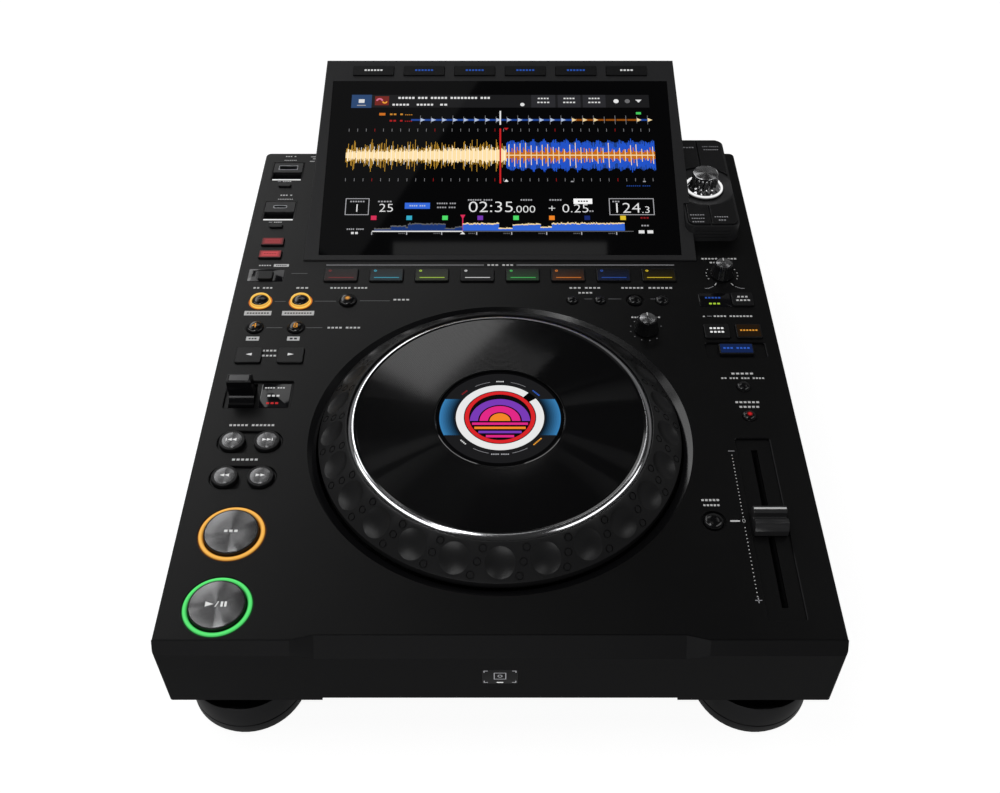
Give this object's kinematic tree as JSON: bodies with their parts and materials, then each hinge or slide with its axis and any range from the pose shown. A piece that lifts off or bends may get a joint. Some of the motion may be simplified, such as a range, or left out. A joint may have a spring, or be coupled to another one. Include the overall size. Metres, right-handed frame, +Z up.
{
  "type": "tabletop dj player",
  "caption": "Tabletop DJ player deck with a tilted touch screen over the rear, a large dimpled jog wheel, transport and performance keys, a tempo fader and round feet.",
  "frame": {"origin": "on the table, under the middle of the deck's overall box", "axes": "+X to the player's right, +Y from the front face to the rear, +Z up"},
  "size_m": [0.329, 0.4529, 0.1328],
  "materials": {
    "panel": "satin",
    "case": "satin",
    "base": "matte",
    "foot_metal": "brushed",
    "rubber": "matte",
    "screw_steel": "satin",
    "screen_glass": "polished",
    "screen_module": "gloss",
    "connector": "satin",
    "board": "satin",
    "supply_can": "satin",
    "bearing": "satin",
    "display": "gloss",
    "fader_can": "satin",
    "lens": "gloss",
    "wheel": "satin",
    "platter": "grooved",
    "key": "satin",
    "transport_metal": "spun",
    "knob": "satin",
    "chrome_knob": "polished"
  },
  "bodies": {
    "deck": {"top_panel": "panel", "main_case": "case", "base_plate": "base", "feet": "foot_metal", "foot_pads": "rubber", "case_screws": "screw_steel", "screen_housing": "case", "screen_glass": "screen_glass", "screen_module": "screen_module", "selector_pod": "case", "rear_sockets": "connector", "usb_ports": "key", "circuit_boards": "board", "power_supply": "supply_can", "jog_bearing": "bearing", "jog_display": "display", "fader_body": "fader_can", "panel_lenses": "lens"},
    "play_button": {"play_button": "transport_metal"},
    "cue_button": {"cue_button": "transport_metal"},
    "track_search_back": {"track_search_back": "transport_metal"},
    "track_search_forward": {"track_search_forward": "transport_metal"},
    "search_back": {"search_back": "transport_metal"},
    "search_forward": {"search_forward": "transport_metal"},
    "beat_jump_back": {"beat_jump_back": "key"},
    "beat_jump_forward": {"beat_jump_forward": "key"},
    "beat_loop_keys": {"beat_loop_keys": "key"},
    "loop_in_button": {"loop_in_button": "key"},
    "loop_out_button": {"loop_out_button": "key"},
    "reloop_button": {"reloop_button": "key"},
    "call_delete_key": {"call_delete_key": "key"},
    "cue_call_keys": {"cue_call_keys": "key"},
    "memory_keys": {"memory_keys": "key"},
    "jog_mode_key": {"jog_mode_key": "key"},
    "beat_sync_key": {"beat_sync_key": "key"},
    "master_key": {"master_key": "key"},
    "key_sync_key": {"key_sync_key": "key"},
    "tempo_range_button": {"tempo_range_button": "key"},
    "master_tempo_button": {"master_tempo_button": "key"},
    "tempo_reset_button": {"tempo_reset_button": "key"},
    "side_keys": {"side_keys": "key"},
    "hot_cue_1": {"hot_cue_1": "key"},
    "hot_cue_2": {"hot_cue_2": "key"},
    "hot_cue_3": {"hot_cue_3": "key"},
    "hot_cue_4": {"hot_cue_4": "key"},
    "hot_cue_5": {"hot_cue_5": "key"},
    "hot_cue_6": {"hot_cue_6": "key"},
    "hot_cue_7": {"hot_cue_7": "key"},
    "hot_cue_8": {"hot_cue_8": "key"},
    "screen_keys": {"screen_keys": "key"},
    "selector_keys": {"selector_keys": "key"},
    "power_button": {"power_button": "key"},
    "tempo_slider": {"tempo_slider": "knob"},
    "jog_wheel": {"jog_wheel": "wheel"},
    "jog_platter": {"jog_platter": "platter"},
    "selector_shaft": {"selector_shaft": "screw_steel"},
    "selector_knob": {"selector_knob": "chrome_knob"},
    "jog_adjust_knob": {"jog_adjust_knob": "knob"},
    "vinyl_speed_knob": {"vinyl_speed_knob": "knob"},
    "direction_lever": {"direction_lever": "knob"}
  },
  "joints": [
    {"name": "play_press", "type": "slide", "parent": "deck", "child": "play_button", "axis": [0, 0, -1], "range_m": [0, 0.001], "stiffness_N_per_m": 500},
    {"name": "cue_press", "type": "slide", "parent": "deck", "child": "cue_button", "axis": [0, 0, -1], "range_m": [0, 0.001], "stiffness_N_per_m": 500},
    {"name": "track_search_back_press", "type": "slide", "parent": "deck", "child": "track_search_back", "axis": [0, 0, -1], "range_m": [0, 0.001], "stiffness_N_per_m": 350},
    {"name": "track_search_forward_press", "type": "slide", "parent": "deck", "child": "track_search_forward", "axis": [0, 0, -1], "range_m": [0, 0.001], "stiffness_N_per_m": 350},
    {"name": "search_back_press", "type": "slide", "parent": "deck", "child": "search_back", "axis": [0, 0, -1], "range_m": [0, 0.001], "stiffness_N_per_m": 350},
    {"name": "search_forward_press", "type": "slide", "parent": "deck", "child": "search_forward", "axis": [0, 0, -1], "range_m": [0, 0.001], "stiffness_N_per_m": 350},
    {"name": "beat_jump_back_press", "type": "slide", "parent": "deck", "child": "beat_jump_back", "axis": [0, 0, -1], "range_m": [0, 0.001], "stiffness_N_per_m": 350},
    {"name": "beat_jump_forward_press", "type": "slide", "parent": "deck", "child": "beat_jump_forward", "axis": [0, 0, -1], "range_m": [0, 0.001], "stiffness_N_per_m": 350},
    {"name": "beat_loop_press", "type": "slide", "parent": "deck", "child": "beat_loop_keys", "axis": [0, 0, -1], "range_m": [0, 0.001], "stiffness_N_per_m": 350},
    {"name": "loop_in_press", "type": "slide", "parent": "deck", "child": "loop_in_button", "axis": [0, 0, -1], "range_m": [0, 0.001], "stiffness_N_per_m": 350},
    {"name": "loop_out_press", "type": "slide", "parent": "deck", "child": "loop_out_button", "axis": [0, 0, -1], "range_m": [0, 0.001], "stiffness_N_per_m": 350},
    {"name": "reloop_press", "type": "slide", "parent": "deck", "child": "reloop_button", "axis": [0, 0, -1], "range_m": [0, 0.001], "stiffness_N_per_m": 350},
    {"name": "call_delete_press", "type": "slide", "parent": "deck", "child": "call_delete_key", "axis": [0, 0, -1], "range_m": [0, 0.001], "stiffness_N_per_m": 350},
    {"name": "cue_call_press", "type": "slide", "parent": "deck", "child": "cue_call_keys", "axis": [0, 0, -1], "range_m": [0, 0.001], "stiffness_N_per_m": 350},
    {"name": "memory_press", "type": "slide", "parent": "deck", "child": "memory_keys", "axis": [0, 0, -1], "range_m": [0, 0.001], "stiffness_N_per_m": 350},
    {"name": "jog_mode_press", "type": "slide", "parent": "deck", "child": "jog_mode_key", "axis": [0, 0, -1], "range_m": [0, 0.001], "stiffness_N_per_m": 350},
    {"name": "beat_sync_press", "type": "slide", "parent": "deck", "child": "beat_sync_key", "axis": [0, 0, -1], "range_m": [0, 0.001], "stiffness_N_per_m": 350},
    {"name": "master_press", "type": "slide", "parent": "deck", "child": "master_key", "axis": [0, 0, -1], "range_m": [0, 0.001], "stiffness_N_per_m": 350},
    {"name": "key_sync_press", "type": "slide", "parent": "deck", "child": "key_sync_key", "axis": [0, 0, -1], "range_m": [0, 0.001], "stiffness_N_per_m": 350},
    {"name": "tempo_range_press", "type": "slide", "parent": "deck", "child": "tempo_range_button", "axis": [0, 0, -1], "range_m": [0, 0.001], "stiffness_N_per_m": 350},
    {"name": "master_tempo_press", "type": "slide", "parent": "deck", "child": "master_tempo_button", "axis": [0, 0, -1], "range_m": [0, 0.001], "stiffness_N_per_m": 350},
    {"name": "tempo_reset_press", "type": "slide", "parent": "deck", "child": "tempo_reset_button", "axis": [0, 0, -1], "range_m": [0, 0.001], "stiffness_N_per_m": 350},
    {"name": "side_keys_press", "type": "slide", "parent": "deck", "child": "side_keys", "axis": [0, 0, -1], "range_m": [0, 0.001], "stiffness_N_per_m": 350},
    {"name": "hot_cue_1_press", "type": "slide", "parent": "deck", "child": "hot_cue_1", "axis": [0, 0, -1], "range_m": [0, 0.001], "stiffness_N_per_m": 350},
    {"name": "hot_cue_2_press", "type": "slide", "parent": "deck", "child": "hot_cue_2", "axis": [0, 0, -1], "range_m": [0, 0.001], "stiffness_N_per_m": 350},
    {"name": "hot_cue_3_press", "type": "slide", "parent": "deck", "child": "hot_cue_3", "axis": [0, 0, -1], "range_m": [0, 0.001], "stiffness_N_per_m": 350},
    {"name": "hot_cue_4_press", "type": "slide", "parent": "deck", "child": "hot_cue_4", "axis": [0, 0, -1], "range_m": [0, 0.001], "stiffness_N_per_m": 350},
    {"name": "hot_cue_5_press", "type": "slide", "parent": "deck", "child": "hot_cue_5", "axis": [0, 0, -1], "range_m": [0, 0.001], "stiffness_N_per_m": 350},
    {"name": "hot_cue_6_press", "type": "slide", "parent": "deck", "child": "hot_cue_6", "axis": [0, 0, -1], "range_m": [0, 0.001], "stiffness_N_per_m": 350},
    {"name": "hot_cue_7_press", "type": "slide", "parent": "deck", "child": "hot_cue_7", "axis": [0, 0, -1], "range_m": [0, 0.001], "stiffness_N_per_m": 350},
    {"name": "hot_cue_8_press", "type": "slide", "parent": "deck", "child": "hot_cue_8", "axis": [0, 0, -1], "range_m": [0, 0.001], "stiffness_N_per_m": 350},
    {"name": "screen_keys_press", "type": "slide", "parent": "deck", "child": "screen_keys", "axis": [0, 0.284, -0.9588], "range_m": [0, 0.0008], "stiffness_N_per_m": 400},
    {"name": "selector_keys_press", "type": "slide", "parent": "deck", "child": "selector_keys", "axis": [0, 0, -1], "range_m": [0, 0.001], "stiffness_N_per_m": 500},
    {"name": "power_press", "type": "slide", "parent": "deck", "child": "power_button", "axis": [0, -1, 0], "range_m": [0, 0.0016], "stiffness_N_per_m": 400},
    {"name": "tempo_slide", "type": "slide", "parent": "deck", "child": "tempo_slider", "axis": [0, 1, 0], "range_m": [-0.047, 0.047]},
    {"name": "jog_spin", "type": "hinge", "parent": "deck", "child": "jog_wheel", "pos_m": [0, -0.09243, 0.0845], "axis": [0, 0, 1], "continuous": true},
    {"name": "platter_press", "type": "slide", "parent": "jog_wheel", "child": "jog_platter", "axis": [0, 0, -1], "range_m": [0, 0.0005], "stiffness_N_per_m": 6000},
    {"name": "selector_press", "type": "slide", "parent": "deck", "child": "selector_shaft", "axis": [0, 0, -1], "range_m": [0, 0.0006], "stiffness_N_per_m": 500},
    {"name": "selector_turn", "type": "hinge", "parent": "selector_shaft", "child": "selector_knob", "pos_m": [0.1356, 0.11857, 0.0965], "axis": [0, 0, 1], "continuous": true},
    {"name": "jog_adjust_turn", "type": "hinge", "parent": "deck", "child": "jog_adjust_knob", "pos_m": [0.0875, -0.00763, 0.0845], "axis": [0, 0, 1], "range_deg": [-140, 140]},
    {"name": "vinyl_speed_turn", "type": "hinge", "parent": "deck", "child": "vinyl_speed_knob", "pos_m": [0.1393, 0.04297, 0.0845], "axis": [0, 0, 1], "range_deg": [-140, 140]},
    {"name": "direction_tilt", "type": "hinge", "parent": "deck", "child": "direction_lever", "pos_m": [-0.1456, -0.06143, 0.079], "axis": [1, 0, 0], "range_deg": [-14, 14]}
  ]
}
